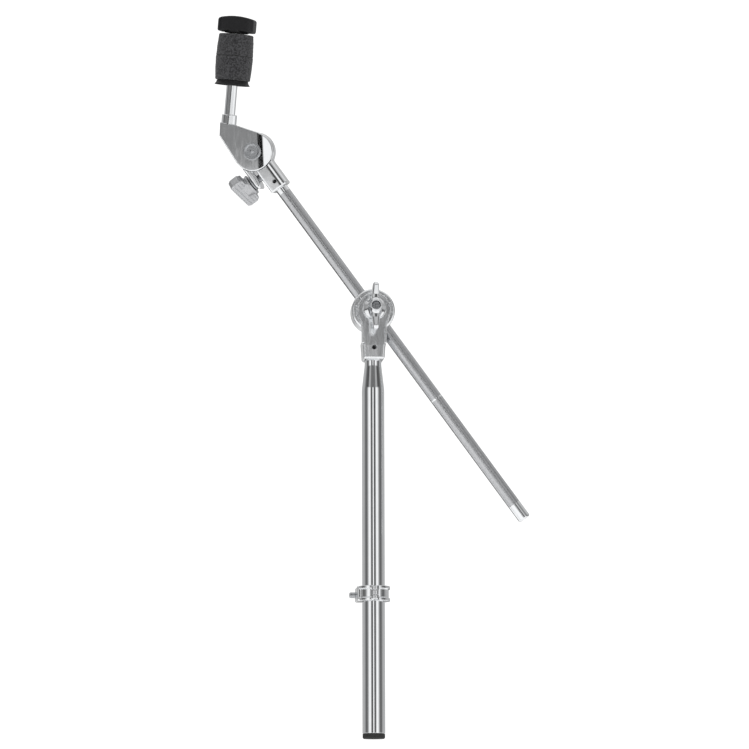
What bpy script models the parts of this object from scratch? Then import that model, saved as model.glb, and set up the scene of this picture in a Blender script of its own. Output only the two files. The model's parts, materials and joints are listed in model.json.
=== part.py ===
"""Clamp-mounted cymbal boom holder: post, memory lock, sliding boom arm, tilter and cymbal seat.

Lengths are written in millimetres and turned to metres by MM. The origin is at the centre of the
post's foot, +Z runs up the post, the boom swings in the XZ plane and -Y is the wing nut's side.
"""
import math

import bmesh
import bpy
from mathutils import Matrix, Vector

MM = 0.001
GAP = 0.3                      # clearance between two pieces that touch on the real object

# post
POST_R = 11.1                  # 22.2 mm tube
POST_WALL = 1.5
TIP_H = 5.0
FLARE_Z = (341.0, 365.0)       # full width below, neck above
NECK_R = 8.3
NECK_TOP = 386.5

# post head casting
HEAD_Z = (370.0, 389.0)        # socket block
HEAD_HALF = 11.9
PIVOT_Z = 419.6                # boom pivot above the foot
EAR_R = 16.0
EAR_Y = (-16.0, -8.5)          # front of the rim, back face
EAR_RECESS = 1.5
EAR_RIM = 2.3

# boom holder
ARM_Y = 3.0                    # centre plane of the boom
HOLDER_R = 21.4
HOLDER_Y = (-8.2, 13.0)
BORE_R = 6.65
EYE_R = 9.3
EYE_Y = (-4.8, 12.5)
THREAD_R = 3.9
HOLE_R = 4.25
NOTCHES = 12

# boom arm, measured along itself from the pivot
TILT = 36.2                    # from vertical
ARM_R = 6.35                   # 12.7 mm rod
ARM_LOW = -253.7
ARM_TOP = 168.6

# tilter
TILTER_S = 198.8               # tilter pivot along the boom
HEAD_ROLL = 20.0               # the tilter is turned this far round the boom
PLATE_R = 19.6
PLATE_Y = (-11.5, -1.0)
WAIST = (66.8, 153.3)          # where the arm's straight sides leave its round end, in degrees
RING_Y = (-0.7, 10.0)
DRUM_R = 11.9
BLOCK_LOW = -45.4
JAW_X = -19.0
WING_Z = -24.2                 # the wing bolt's axis below the tilter pivot
WING_TURN = 50.0               # the wings' turn about that axis
ROD_LEAN = 42.0                # rod against the boom
ROD_OFFSET = 27.8              # rod axis from the tilter pivot
ROD_Y = -3.8
ROD_R = 5.5
BOSS_R = 7.7

# cymbal seat, measured along the rod
SEAT_S = (63.6, 68.2)
FELT_R = 18.8
LOWER_FELT_S = (68.5, 92.0)
UPPER_FELT_S = (92.3, 114.0)
NUT_S = (115.3, 132.0)
NUT_HALF = 18.2
THREAD_TOP = 128.4
SLEEVE_R = 6.2
STUD_R = 4.0                   # 8 mm threaded end of the rod


# ---------------------------------------------------------------- tools

def make_collection(name):
    collection = bpy.data.collections.new(name)
    bpy.context.scene.collection.children.link(collection)
    return collection


for old in list(bpy.data.objects):
    bpy.data.objects.remove(old, do_unlink=True)
PARTS = make_collection("cymbal_boom_holder")
CUTTERS = make_collection("cutters")

CHROME = ((0.62, 0.62, 0.63), 0.12, 1.0)
SATIN = ((0.42, 0.42, 0.43), 0.45, 1.0)
STEEL = ((0.50, 0.50, 0.51), 0.30, 1.0)
BLACK_PLASTIC = ((0.015, 0.015, 0.016), 0.40, 0.0)
BLACK_RUBBER = ((0.012, 0.012, 0.012), 0.75, 0.0)
WOOL_FELT = ((0.045, 0.045, 0.048), 0.95, 0.0)
BRONZE = ((0.55, 0.38, 0.20), 0.40, 1.0)


def give_material(obj, finish):
    colour, roughness, metallic = finish
    material = bpy.data.materials.new(obj.name + "_finish")
    material.use_nodes = True
    shader = material.node_tree.nodes["Principled BSDF"]
    shader.inputs["Base Color"].default_value = (*colour, 1.0)
    shader.inputs["Roughness"].default_value = roughness
    shader.inputs["Metallic"].default_value = metallic
    obj.data.materials.clear()
    obj.data.materials.append(material)


def add_object(name, mesh, finish, parent=None, location=(0, 0, 0), rotation=(0, 0, 0)):
    """Link a mesh as a part, or as a cutter when it has no finish."""
    obj = bpy.data.objects.new(name, mesh)
    (PARTS if finish else CUTTERS).objects.link(obj)
    obj.parent = parent
    obj.location = Vector(location) * MM
    obj.rotation_euler = rotation
    if finish:
        give_material(obj, finish)
    else:
        obj.hide_render = True
        obj.display_type = "WIRE"
    return obj


def empty(name, parent, location, rotation=(0, 0, 0)):
    obj = bpy.data.objects.new(name, None)
    PARTS.objects.link(obj)
    obj.parent = parent
    obj.location = Vector(location) * MM
    obj.rotation_euler = rotation
    return obj


def turned(name, profile, finish, steps=24, loop=False, **place):
    """Revolve (radius, height) points round Z; the outer side runs from top to bottom."""
    mesh = bpy.data.meshes.new(name)
    count = len(profile)
    edges = [(i, i + 1) for i in range(count - 1)]
    if loop:
        edges.append((count - 1, 0))
    mesh.from_pydata([(r * MM, 0, z * MM) for r, z in profile], edges, [])
    obj = add_object(name, mesh, finish, **place)
    screw = obj.modifiers.new("Screw", "SCREW")
    screw.axis = "Z"
    screw.steps = steps
    screw.render_steps = steps
    screw.use_merge_vertices = True
    screw.merge_threshold = 0.00001
    screw.use_smooth_shade = True
    return obj


def rod_profile(radius, low, high, chamfer=0.5):
    """Outline of a plain round rod with chamfered ends."""
    return [(0, high), (radius - chamfer, high), (radius, high - chamfer),
            (radius, low + chamfer), (radius - chamfer, low), (0, low)]


def tube_profile(outer, inner, low, high, chamfer=0.4):
    """Closed outline of a ring or tube."""
    return [(inner, high), (outer - chamfer, high), (outer, high - chamfer),
            (outer, low + chamfer), (outer - chamfer, low), (inner, low)]


def box(name, low, high, finish, bevel=0.0, **place):
    """Box between two corners, with its edges rounded."""
    mesh = bpy.data.meshes.new(name)
    bm = bmesh.new()
    bmesh.ops.create_cube(bm, size=1.0)
    size = Vector(high) - Vector(low)
    middle = (Vector(high) + Vector(low)) / 2
    bmesh.ops.scale(bm, vec=size * MM, verts=bm.verts)
    bmesh.ops.translate(bm, vec=middle * MM, verts=bm.verts)
    bm.to_mesh(mesh)
    bm.free()
    obj = add_object(name, mesh, finish, **place)
    if bevel:
        round_edges(obj, bevel)
    return obj


def round_edges(obj, width, segments=2, angle=40):
    bevel = obj.modifiers.new("Bevel", "BEVEL")
    bevel.width = width * MM
    bevel.segments = segments
    bevel.limit_method = "ANGLE"
    bevel.angle_limit = math.radians(angle)


def arc(centre, radius, start, end, count):
    """Points on an arc, angles in degrees from +X towards +Y."""
    cx, cy = centre
    angles = [math.radians(start + (end - start) * i / count) for i in range(count + 1)]
    return [(cx + radius * math.cos(a), cy + radius * math.sin(a)) for a in angles]


def plate(name, outline, back, front, finish, bevel=0.0, **place):
    """Flat piece: an outline in the local XZ plane, filled from y=back to y=front."""
    curve = bpy.data.curves.new(name, "CURVE")
    curve.dimensions = "2D"
    curve.fill_mode = "BOTH"
    curve.extrude = abs(front - back) / 2 * MM
    spline = curve.splines.new("POLY")
    spline.points.add(len(outline) - 1)
    for point, (x, z) in zip(spline.points, outline):
        point.co = (x * MM, z * MM, 0, 1)
    spline.use_cyclic_u = True
    raw = bpy.data.objects.new(name + "_outline", curve)
    CUTTERS.objects.link(raw)
    bpy.context.view_layer.update()
    solid = bpy.data.meshes.new_from_object(raw.evaluated_get(bpy.context.evaluated_depsgraph_get()))
    bpy.data.objects.remove(raw, do_unlink=True)
    upright = Matrix.Translation((0, (front + back) / 2 * MM, 0)) @ Matrix.Rotation(math.pi / 2, 4, "X")
    bm = bmesh.new()
    bm.from_mesh(solid)
    bmesh.ops.remove_doubles(bm, verts=bm.verts, dist=0.000005)
    bmesh.ops.transform(bm, matrix=upright, verts=bm.verts)
    bmesh.ops.dissolve_limit(bm, angle_limit=math.radians(1), verts=bm.verts, edges=bm.edges)
    bmesh.ops.recalc_face_normals(bm, faces=bm.faces)
    bm.to_mesh(solid)
    bm.free()
    solid.materials.clear()
    obj = add_object(name, solid, finish, **place)
    if bevel:
        round_edges(obj, bevel)
    return obj


def combine(target, other, operation):
    boolean = target.modifiers.new(operation.title(), "BOOLEAN")
    boolean.operation = operation
    boolean.solver = "EXACT"
    boolean.object = other


def cut(target, *others):
    for other in others:
        combine(target, other, "DIFFERENCE")


def join(target, *others):
    for other in others:
        combine(target, other, "UNION")


ALONG_Y = (-math.pi / 2, 0, 0)     # turns a piece's own +Z to world +Y
ALONG_X = (0, math.pi / 2, 0)      # turns a piece's own +Z to +X


# ---------------------------------------------------------------- post

def build_post():
    """Swaged tube, open at both ends, with a rubber tip plugged into its foot."""
    low, high = FLARE_Z
    outer = [(NECK_R, NECK_TOP), (NECK_R, high), (POST_R, low), (POST_R, TIP_H + GAP)]
    inner = [(r - POST_WALL, z) for r, z in reversed(outer)]
    turned("post_tube", outer + inner, CHROME, steps=28, loop=True)
    plug = POST_R - POST_WALL - GAP
    tip = [(0, 20), (plug - 1, 20), (plug, 18.5), (plug, TIP_H), (POST_R - 0.2, TIP_H),
           (POST_R - 0.2, 1.6), (POST_R - 0.7, 0.5), (POST_R - 1.8, 0), (0, 0)]
    turned("post_tip", tip, BLACK_RUBBER, steps=28)


def ear_outline(inset):
    """Keyhole outline of the ear: straight sides from the block, then a round eye."""
    half = HEAD_HALF + 0.3 - inset
    radius = EAR_R - inset
    start = math.degrees(math.asin(half / radius))
    eye = arc((0, 0), radius, start - 90, 270 - start, 26)
    base = HEAD_Z[0] + 14 - PIVOT_Z if inset == 0 else HEAD_Z[1] + 0.5 - PIVOT_Z
    return [(-half, base), (half, base)] + eye


def build_post_head():
    """One casting: a socket block on the neck and an ear with a recessed face."""
    low, high = HEAD_Z
    half = HEAD_HALF
    head = box("post_head", (-half + 0.4, -half, low), (half - 0.4, half, high), CHROME, bevel=2.4)
    head.modifiers["Bevel"].segments = 3
    pivot = (0, 0, PIVOT_Z)
    ear = plate("ear_solid", ear_outline(0), EAR_Y[0], EAR_Y[1], None, bevel=0.8, location=pivot)
    recess = plate("ear_recess", ear_outline(EAR_RIM), EAR_Y[0] - 2, EAR_Y[0] + EAR_RECESS, None,
                   location=pivot)
    eye_hole = turned("ear_hole", rod_profile(HOLE_R, -20, 20, 0.01), None, location=pivot,
                      rotation=ALONG_Y)
    socket = turned("neck_socket", rod_profile(NECK_R + GAP, low - 5, NECK_TOP + GAP, 0.01), None)
    screw_hole = turned("head_screw_hole", rod_profile(2.3, -half - 5, -NECK_R, 0.01), None,
                        location=(0, 0, HEAD_Z[0] + 11.4), rotation=ALONG_Y, steps=16)
    join(head, ear)
    cut(head, recess, eye_hole, socket, screw_hole)
    turned("head_screw", rod_profile(2.0, -half + 1.0, -NECK_R - GAP, 0.4), STEEL, steps=12,
           location=(0, 0, HEAD_Z[0] + 11.4), rotation=ALONG_Y)


# ---------------------------------------------------------------- memory lock

LOCK_Z = 140.0
LOCK_HALF = 6.9
LOCK_OUT = 16.2
LOCK_IN = POST_R + GAP
HINGE_Y = -15.6
LUG_Y = (10.7, 20.1)
SCREW_Y = 15.4


def lock_band(name, side):
    """Half of the band: a waisted ring sector with its lug, side is -1 or +1 in X."""
    rim = LOCK_OUT
    waist = rim - 1.3
    section = [(LOCK_IN - 1, 7.3), (rim - 0.8, 7.3), (rim, 6.5), (rim, 4.6), (waist, 3.6),
               (waist, -3.6), (rim, -4.6), (rim, -6.5), (rim - 0.8, -7.3), (LOCK_IN - 1, -7.3)]
    band = turned(name, section, CHROME, steps=28, loop=True, location=(0, 0, LOCK_Z))
    edge = 0.15
    spot = {"location": (0, 0, LOCK_Z)}
    if side < 0:
        other = box(name + "_half", (-edge, -30, -20), (30, 30, 20), None, **spot)
        lug = box(name + "_lug", (-16.4, LUG_Y[0], -LOCK_HALF), (-0.6, LUG_Y[1], LOCK_HALF), None,
                  bevel=1.0, **spot)
        cheek = box(name + "_cheek", (-16.3, -7.5, -LOCK_HALF - 0.2), (-11.8, 8.6, LOCK_HALF + 0.2), None,
                    bevel=1.2, **spot)
    else:
        other = box(name + "_half", (-30, -30, -20), (edge, 30, 20), None, **spot)
        lug = box(name + "_lug", (0.6, LUG_Y[0], -LOCK_HALF), (9.5, LUG_Y[1], LOCK_HALF), None,
                  bevel=1.0, **spot)
        cheek = None
    clear = turned(name + "_post", rod_profile(LOCK_IN, -20, 20, 0.01), None, location=(0, 0, LOCK_Z),
                   steps=28)
    cut(band, other)
    join(band, lug)
    if cheek:
        join(band, cheek)
    cut(band, clear)
    return band


def build_memory_lock():
    """Two half bands on a hinge pin in front, drawn together by a screw behind the post."""
    left = lock_band("lock_band_left", -1)
    right = lock_band("lock_band_right", 1)
    place = {"location": (0, SCREW_Y, LOCK_Z), "rotation": ALONG_X}
    stepped = [(0, 5), (2.9, 5), (2.9, -12.0), (4.1, -12.0), (4.1, -30), (0, -30)]
    left_hole = turned("lock_left_hole", stepped, None, steps=16, **place)
    right_hole = turned("lock_right_hole", rod_profile(3.2, -5, 30, 0.01), None, steps=16, **place)
    cut(left, left_hole)
    cut(right, right_hole)
    spot = {"location": (0, HINGE_Y, LOCK_Z), "steps": 18}
    knuckle_r = 3.4
    room_r = knuckle_r + GAP
    for band, low, high in ((left, 2.6, 6.2), (left, -6.2, -2.6), (right, -2.2, 2.2)):
        knuckle = turned(f"knuckle_at_{low}", rod_profile(knuckle_r, low, high, 0.3), None, **spot)
        join(band, knuckle)
    for band, low, high in ((left, -2.45, 2.45), (right, 2.4, 12.0), (right, -12.0, -2.4)):
        room = turned(f"knuckle_room_at_{low}", rod_profile(room_r, low, high, 0.01), None, **spot)
        cut(band, room)
    for band in (left, right):
        bore = turned(band.name + "_pin_bore", rod_profile(1.5, -20, 20, 0.01), None, **spot)
        cut(band, bore)
    turned("lock_hinge_pin", rod_profile(1.2, -6.2, 6.2, 0.2), STEEL, **spot)
    screw = [(0, 4.8), (2.0, 4.8), (2.45, 4.3), (2.45, -12.4), (3.7, -13.6), (3.7, -14.4), (2.9, -16.0),
             (2.9, -21.4), (2.2, -22.2), (0, -22.2)]
    turned("lock_screw", screw, STEEL, steps=16, **place)


# ---------------------------------------------------------------- boom holder

WING_REACH = 23.5
WING_SPAN = (3.5, 18.0)
WING_ROOT = 2.0
WING_TIP_R = 3.5


def wing_outline(dip):
    """One wing beside the hub, in its own plane: its outer edge falls by dip towards the hub."""
    low, high = WING_SPAN
    tip = arc((WING_REACH - WING_TIP_R, high - WING_TIP_R), WING_TIP_R, 0, 90, 5)
    lower = [(WING_ROOT, low), (WING_REACH - 3.0, low + 2.0), (WING_REACH, low + 5.0)]
    return lower + tip + [(WING_ROOT, high - dip)]


def wing_body(name, finish, bore, dip, place):
    """Cast wing nut: flared base, hub and two wings; its foot is at 0 and it grows along +Z."""
    hub = [(0, 18.6), (4.8, 18.6), (5.6, 17.8), (5.8, 12.0), (7.0, 7.0), (9.6, 3.2), (10.8, 1.2), (10.8, 0),
           (0, 0)]
    body = turned(name, hub, finish, steps=20, **place)
    for side in (1, -1):
        outline = [(side * x, z) for x, z in wing_outline(dip)]
        if side < 0:
            outline.reverse()
        wing = plate(f"{name}_wing{side}", outline, -3.0, 3.0, None, bevel=1.0, **place)
        join(body, wing)
    if bore:
        hole = turned(name + "_bore", rod_profile(bore, -5, 30, 0.01), None, steps=20, **place)
        cut(body, hole)
    return body


def build_boom_holder():
    """Toothed disc, the eye bolt that draws the boom against it, washer and wing nut."""
    pivot = empty("boom_axis", None, (0, 0, PIVOT_Z), (0, -math.radians(TILT), 0))
    low, high = HOLDER_Y
    r = HOLDER_R
    disc = [(0, high), (r - 3, high), (r - 0.8, high - 0.9), (r, high - 3), (r, low + 2.6),
            (r - 0.8, low + 0.8), (r - 2.6, low), (0, low)]
    holder = turned("boom_holder", disc, CHROME, steps=32, parent=pivot, rotation=ALONG_Y)
    pocket = turned("eye_pocket", rod_profile(EYE_R + GAP, EYE_Y[0] - GAP, high + 5, 0.01), None,
                    parent=pivot, rotation=ALONG_Y)
    hole = turned("holder_hole", rod_profile(HOLE_R, low - 5, high, 0.01), None, parent=pivot,
                  rotation=ALONG_Y)
    bore = turned("arm_bore", rod_profile(BORE_R, -40, 40, 0.01), None, parent=pivot,
                  location=(0, ARM_Y, 0))
    cut(holder, pocket, hole, bore)
    for i in range(NOTCHES):
        angle = 2 * math.pi * (i + 0.5) / NOTCHES
        notch = box(f"notch_{i}", (14.5, low - 1, -0.9), (18.4, low + 1.2, 0.9), None, parent=pivot,
                    rotation=(0, angle, 0))
        cut(holder, notch)
    eye = turned("eye_bolt", [(0, EYE_Y[1]), (EYE_R - 1, EYE_Y[1]), (EYE_R, EYE_Y[1] - 1),
                              (EYE_R, EYE_Y[0]), (THREAD_R, EYE_Y[0]), (THREAD_R, -33.0),
                              (THREAD_R - 0.7, -33.7), (0, -33.7)], STEEL, parent=pivot, rotation=ALONG_Y)
    cross = turned("eye_cross_hole", rod_profile(BORE_R, -40, 40, 0.01), None, parent=pivot,
                   location=(0, ARM_Y, 0))
    cut(eye, cross)

    floor = EAR_Y[0] + EAR_RECESS - GAP
    washer = turned("clamp_washer", tube_profile(11.6, HOLE_R, floor - 2.4, floor), STEEL, loop=True,
                    location=(0, 0, PIVOT_Z), rotation=ALONG_Y)
    flat = box("washer_flat", (-20, floor - 5, -20), (20, floor + 5, -9.0), None, location=(0, 0, PIVOT_Z))
    cut(washer, flat)
    nut_foot = floor - 2.4 - GAP
    place = {"location": (0, nut_foot, PIVOT_Z), "rotation": (math.pi / 2, math.pi / 2, 0)}
    wing_body("clamp_wing_nut", CHROME, HOLE_R, 4.5, place)
    return pivot


# ---------------------------------------------------------------- boom arm and tilter

def build_boom_arm(boom):
    turned("boom_arm", rod_profile(ARM_R, ARM_LOW, ARM_TOP, 1.2), SATIN, parent=boom,
           location=(0, ARM_Y, 0), steps=24)


def build_tilter_base(head):
    """Split clamp ring with a jaw, and the block that holds the boom's upper end."""
    ring = turned("tilter_base", tube_profile(PLATE_R, DRUM_R + 1.5 + GAP, *RING_Y, 1.0), CHROME, steps=32,
                  loop=True, parent=head, rotation=ALONG_Y)
    block = box("base_block", (-9.4, -10.0, BLOCK_LOW), (9.4, 9.6, -15.7), None, bevel=1.8, parent=head)
    jaw_outline = [(JAW_X, -4.0), (JAW_X, -30.0), (-17.6, -33.4), (-15.6, -34.0), (-13.6, -31.0),
                   (-12.2, -22.0), (-11.9, -4.0)]
    jaw = plate("base_jaw", jaw_outline, -9.0, 9.3, None, bevel=0.8, parent=head)
    join(ring, block, jaw)
    drum_room = turned("drum_room", rod_profile(DRUM_R + 1.5 + GAP, -30, 30, 0.01), None, steps=32,
                       parent=head, rotation=ALONG_Y)
    plate_room = turned("plate_room", rod_profile(PLATE_R + 0.5, -30, PLATE_Y[1] + GAP, 0.01), None,
                        steps=32, parent=head, rotation=ALONG_Y)
    slit = box("base_slit", (-11.9, -30, -60), (-9.8, 30, -5), None, parent=head)
    socket = turned("arm_socket", rod_profile(ARM_R + GAP, BLOCK_LOW - 5, ARM_TOP - TILTER_S + GAP, 0.01),
                    None, parent=head)
    axis = (0, 0, WING_Z)
    bolt_room = turned("wing_bolt_room", rod_profile(HOLE_R, -30, 4.0, 0.01), None, parent=head,
                       location=axis, rotation=ALONG_X)
    screw_room = turned("base_screw_room", rod_profile(2.1, -20, 0, 0.01), None, parent=head,
                        location=(0, 0, -37.0), rotation=ALONG_Y, steps=16)
    cut(ring, drum_room, plate_room, slit, socket, bolt_room, screw_room)
    turned("base_screw", rod_profile(1.8, -9.2, -ARM_R - GAP, 0.3), STEEL, steps=12, parent=head,
           location=(0, 0, -37.0), rotation=ALONG_Y)
    turned("clutch_ring", tube_profile(DRUM_R + 1.5, DRUM_R + GAP, RING_Y[0] + 0.2, RING_Y[1] - 0.2, 0.1),
           BRONZE, steps=28, loop=True, parent=head, rotation=ALONG_Y)


def build_wing_bolt(head):
    """Wing bolt across the slit, with its washer."""
    washer_x = JAW_X - GAP
    turned("wing_bolt_washer", tube_profile(7.6, HOLE_R, -1.6, 0, 0.3), STEEL, loop=True, steps=20,
           parent=head, location=(washer_x, 0, WING_Z), rotation=ALONG_X)
    foot = washer_x - 1.6 - GAP
    frame = empty("wing_bolt_axis", head, (foot, 0, WING_Z), (math.radians(WING_TURN), 0, 0))
    place = {"parent": frame, "rotation": (0, -math.pi / 2, 0)}
    body = wing_body("tilter_wing_bolt", CHROME, None, 0.8, place)
    shank = turned("wing_bolt_shank", rod_profile(THREAD_R, -5, 2.0 - foot, 0.5), None, parent=frame,
                   rotation=ALONG_X, steps=20)
    join(body, shank)


def build_tilter_arm(head, rod):
    """Teardrop plate with a drum behind it and the boss that holds the cymbal rod."""
    lean = math.radians(ROD_LEAN)
    along = Vector((math.sin(lean), math.cos(lean)))
    outward = Vector((-math.cos(lean), math.sin(lean)))

    def spot(s, r):
        point = along * s + outward * (ROD_OFFSET + r)
        return (point.x, point.y)

    heel = spot(12.4, 6.8)
    shoulder = spot(26.2, 7.4)
    crest = spot(24.6, -7.6)
    outline = [crest, shoulder, heel] + arc((0, 0), PLATE_R, WAIST[1], WAIST[0] + 360, 28)
    arm = plate("tilter_arm", outline, PLATE_Y[0], PLATE_Y[1], CHROME, bevel=1.1, parent=head)
    drum = turned("arm_drum", rod_profile(DRUM_R, PLATE_Y[1] - 3, RING_Y[1] - 0.2, 0.3), None, parent=head,
                  rotation=ALONG_Y, steps=28)
    boss = turned("arm_boss", rod_profile(BOSS_R, 14.0, 34.4, 0.6), None, parent=rod, steps=28)
    join(arm, drum, boss)
    hole = turned("arm_pivot_hole", rod_profile(HOLE_R, -30, 30, 0.01), None, parent=head,
                  rotation=ALONG_Y)
    rod_room = turned("arm_rod_room", rod_profile(ROD_R + GAP, 16.5, 60, 0.01), None, parent=rod)
    cut(arm, hole, rod_room)


def build_pivot(head):
    """Pivot bolt with a dished round head in front, washer and nut behind."""
    face = PLATE_Y[0] - GAP
    tail = 19.5
    bolt = [(0, tail), (THREAD_R - 0.6, tail), (THREAD_R, tail - 0.6), (THREAD_R, face), (9.0, face),
            (9.0, face - 0.6), (8.3, face - 1.3), (6.6, face - 1.3), (5.8, face - 0.8), (2.2, face - 0.8),
            (1.4, face - 0.3), (0, face - 0.2)]
    turned("pivot_bolt", bolt, CHROME, steps=28, parent=head, rotation=ALONG_Y)
    back = RING_Y[1] + GAP
    turned("pivot_washer", tube_profile(15.5, HOLE_R, back, back + 1.6, 0.3), STEEL, loop=True, steps=28,
           parent=head, rotation=ALONG_Y)
    back += 1.6 + GAP
    hexagon = arc((0, 0), 7.5, 0, 300, 5)
    nut = plate("pivot_nut", hexagon, back, back + 5.6, STEEL, bevel=0.5, parent=head)
    hole = turned("pivot_nut_hole", rod_profile(HOLE_R, -30, 30, 0.01), None, parent=head,
                  rotation=ALONG_Y)
    cut(nut, hole)


# ---------------------------------------------------------------- cymbal seat

def build_seat(rod):
    """Rod, cup washer, sleeve, two felts and the top nut."""
    low, high = SEAT_S
    rod_profile_points = [(0, THREAD_TOP), (STUD_R - 0.7, THREAD_TOP), (STUD_R, THREAD_TOP - 0.7),
                          (STUD_R, high + 1.0), (ROD_R, high + 1.0), (ROD_R, 17.3), (ROD_R - 0.6, 16.8),
                          (0, 16.8)]
    turned("tilter_rod", rod_profile_points, CHROME, steps=24, parent=rod)
    cup = [(SLEEVE_R + GAP, high), (15.6, high), (16.0, high - 1.0), (16.3, high - 2.4), (17.4, low + 0.8),
           (17.5, low), (16.6, low + 0.1), (14.6, low + 1.8), (9.5, low + 2.4), (8.6, low + 0.9),
           (ROD_R + GAP, low + 0.9), (ROD_R + GAP, high - 1.4), (SLEEVE_R + GAP, high - 1.4)]
    turned("seat_washer", cup, BLACK_PLASTIC, steps=28, loop=True, parent=rod)
    sleeve_low = high + 1.0 + GAP
    turned("cymbal_sleeve", tube_profile(SLEEVE_R, STUD_R + GAP, sleeve_low, UPPER_FELT_S[1] + 1.0, 0.3),
           BLACK_PLASTIC, steps=20, loop=True, parent=rod)
    inner = SLEEVE_R + GAP + 0.2
    for name, span, top_r, low_r in (("lower_felt", LOWER_FELT_S, FELT_R, FELT_R - 1.4),
                                     ("upper_felt", UPPER_FELT_S, FELT_R - 1.7, FELT_R - 0.4)):
        felt = [(inner, span[1]), (top_r - 1.5, span[1]), (top_r, span[1] - 1.5), (low_r, span[0] + 1.5),
                (low_r - 1.5, span[0]), (inner, span[0])]
        turned(name, felt, WOOL_FELT, steps=28, loop=True, parent=rod)


def build_top_nut(rod):
    """Oblong plastic nut with flat ends on a round hub, moulded round a threaded insert."""
    low, high = NUT_S
    nut = turned("top_nut", rod_profile(12.0, low, high - 2.0, 0.5), BLACK_PLASTIC, steps=24, parent=rod)
    half = NUT_HALF
    top = arc((0, high - 62.0), 62.0, 90 - 17.2, 90 + 17.2, 10)
    outline = [(-half, low + 1.8), (half, low + 1.8)] + top
    bar = plate("nut_bar", outline, -11.6, 11.6, None, bevel=1.6, parent=rod)
    join(nut, bar)
    insert_room = turned("insert_room", rod_profile(6.2 + GAP, low - 5, high - 2.6, 0.01), None, parent=rod,
                         steps=20)
    cut(nut, insert_room)
    turned("nut_insert", tube_profile(6.2, STUD_R + GAP, low + 0.2, high - 2.9, 0.3), BRONZE, loop=True,
           steps=20, parent=rod)


def build():
    build_post()
    build_post_head()
    build_memory_lock()
    boom = build_boom_holder()
    build_boom_arm(boom)
    head = empty("tilter_axis", boom, (0, ARM_Y, TILTER_S), (0, 0, -math.radians(HEAD_ROLL)))
    lean = math.radians(ROD_LEAN)
    foot = (-math.cos(lean) * ROD_OFFSET, ROD_Y, math.sin(lean) * ROD_OFFSET)
    rod = empty("rod_axis", head, foot, (0, lean, 0))
    build_tilter_base(head)
    build_wing_bolt(head)
    build_tilter_arm(head, rod)
    build_pivot(head)
    build_seat(rod)
    build_top_nut(rod)


build()
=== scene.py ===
"""Looks of a clamp-mounted cymbal boom holder: chromed tube and castings, a knurled arm, felts on a
threaded stud.

Shapes are worked out in millimetres in the frame of the joint they belong to, then put into metres.
"""
import json
import math

import bpy
import numpy as np
from mathutils import Matrix, Vector


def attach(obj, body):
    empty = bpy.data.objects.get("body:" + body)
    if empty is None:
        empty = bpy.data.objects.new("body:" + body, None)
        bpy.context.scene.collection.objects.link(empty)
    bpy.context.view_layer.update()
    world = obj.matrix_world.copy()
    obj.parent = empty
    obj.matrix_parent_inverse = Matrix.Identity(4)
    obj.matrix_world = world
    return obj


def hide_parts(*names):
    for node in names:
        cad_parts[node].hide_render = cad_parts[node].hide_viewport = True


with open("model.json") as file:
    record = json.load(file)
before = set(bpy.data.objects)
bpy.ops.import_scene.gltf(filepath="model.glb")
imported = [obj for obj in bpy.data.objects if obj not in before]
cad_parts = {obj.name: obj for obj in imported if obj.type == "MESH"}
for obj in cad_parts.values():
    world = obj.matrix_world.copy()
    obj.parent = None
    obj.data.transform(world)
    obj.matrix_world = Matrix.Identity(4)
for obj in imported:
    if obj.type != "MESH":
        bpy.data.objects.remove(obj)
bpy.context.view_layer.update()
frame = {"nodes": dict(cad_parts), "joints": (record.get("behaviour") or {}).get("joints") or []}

MM = 0.001
GAP = 0.3                 # clearance between pieces that touch on the real object
NODES = frame["nodes"]
JOINTS = {joint["name"]: joint for joint in frame["joints"]}


# ---------------------------------------------------------------- places

def place(origin, y_axis, z_axis):
    """Origin in mm and the three local axes as rows."""
    y, z = np.array(y_axis, float), np.array(z_axis, float)
    return np.array(origin, float), np.stack([np.cross(y, z), y, z])


def spun(where, axis):
    """The same place with its local Z laid along the old X or Y."""
    origin, rows = where
    return origin, np.roll(rows, {"X": 2, "Y": 1}[axis], axis=0)


def moved(where, x=0.0, y=0.0, z=0.0):
    origin, rows = where
    return origin + np.array([x, y, z]) @ rows, rows


def joint_point(name):
    return np.array(JOINTS[name]["pos_m"], float) / MM


def joint_axis(name):
    return np.array(JOINTS[name]["axis"], float)


ROD_OFFSET = 27.8         # rod axis from the tilter pivot
ARM_Y = 3.0               # centre plane of the boom behind the post's axis
HOLE_R = 4.25             # clearance hole for an 8 mm bolt
UP = (0, 0, 1)
BACK = (0, 1, 0)
FOOT = place((0, 0, 0), BACK, UP)
PIVOT = place(joint_point("boom_tilt"), BACK, UP)
BOOM = place(joint_point("boom_tilt"), BACK, joint_axis("boom_slide"))
LOCK = place(joint_point("lock_open") * (0, 0, 1), BACK, UP)
HEAD = place(joint_point("tilter_tilt"), joint_axis("tilter_tilt"), joint_axis("boom_slide"))
ROD_AXIS = joint_axis("upper_felt_lift")
ON_ROD = joint_point("lower_felt_turn")
ROD = place(ON_ROD - ROD_AXIS * ((ON_ROD - HEAD[0]) @ ROD_AXIS), joint_axis("tilter_tilt"), ROD_AXIS)
ROD_LEAN = math.acos(float(HEAD[1][2] @ ROD_AXIS))
ROD_Y = float((ROD[0] - HEAD[0]) @ HEAD[1][1])
ROD_R = 5.5
ROD_FOOT = 16.8           # where the rod ends in its boss, along the rod from the tilter pivot


# ---------------------------------------------------------------- solids as distances

def radial(u, v):
    return np.sqrt(u * u + v * v)


def span(t, low, high):
    """Distance outside the slab between low and high, negative inside it."""
    return np.abs(t - (low + high) / 2) - (high - low) / 2


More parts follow.
